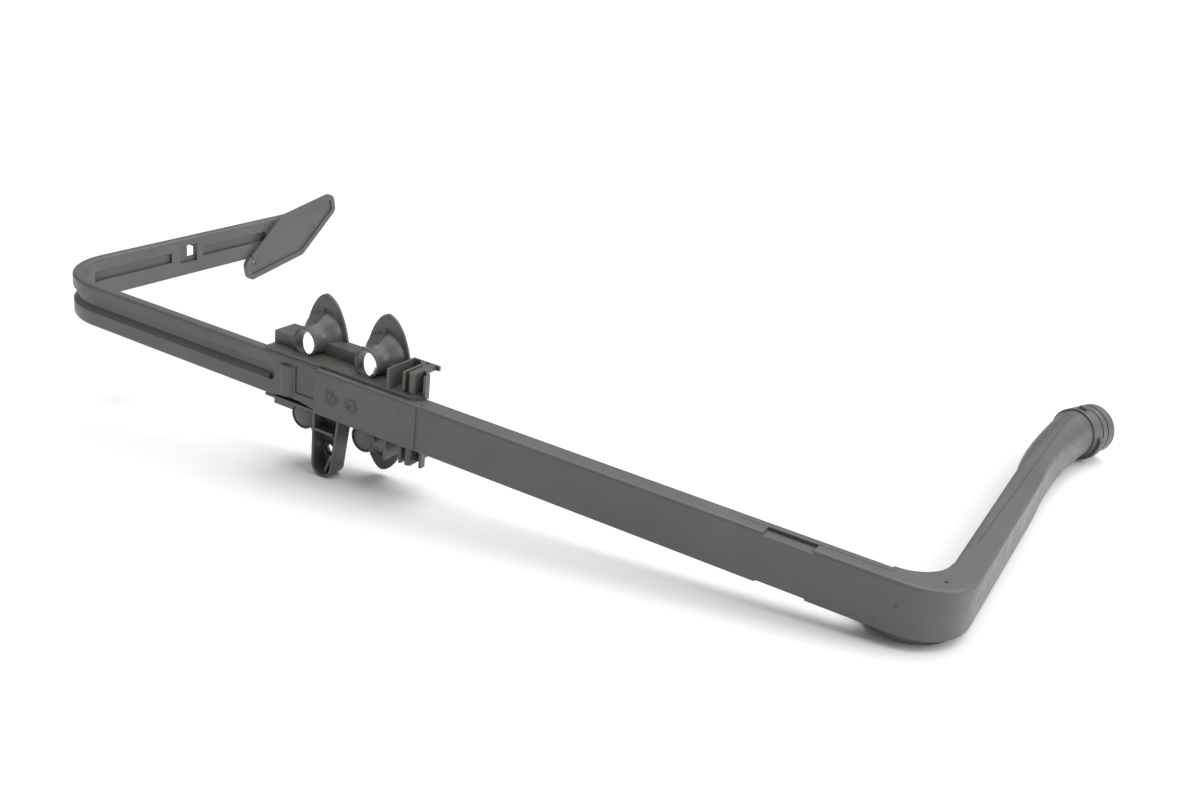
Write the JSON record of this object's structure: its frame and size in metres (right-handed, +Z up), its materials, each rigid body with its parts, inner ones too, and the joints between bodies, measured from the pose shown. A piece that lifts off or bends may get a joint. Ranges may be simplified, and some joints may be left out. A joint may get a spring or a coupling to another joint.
{
  "type": "dishwasher water supply tube",
  "caption": "Rear-wall water supply tube of a dishwasher: U-shaped plastic duct with a clipped docking station, a slotted deflector plate and a grooved spigot for the sump.",
  "frame": {"origin": "middle of the bounding box in plan, on the floor the tube lies on", "axes": "+X down the column, from the upper leg to the lower leg; +Y the way both legs reach, off the tub's rear wall; +Z up from the floor, across the column's width"},
  "size_m": [0.6141, 0.3017, 0.1023],
  "materials": {
    "tube_plastic": "satin moulded, mid grey",
    "dock_plastic": "satin moulded, dark grey",
    "seal_rubber": "matt black"
  },
  "bodies": {
    "root": {"supply_tube": "tube_plastic", "docking_station": "dock_plastic", "port_seal_upper": "seal_rubber", "port_seal_lower": "seal_rubber"}
  },
  "joints": []
}
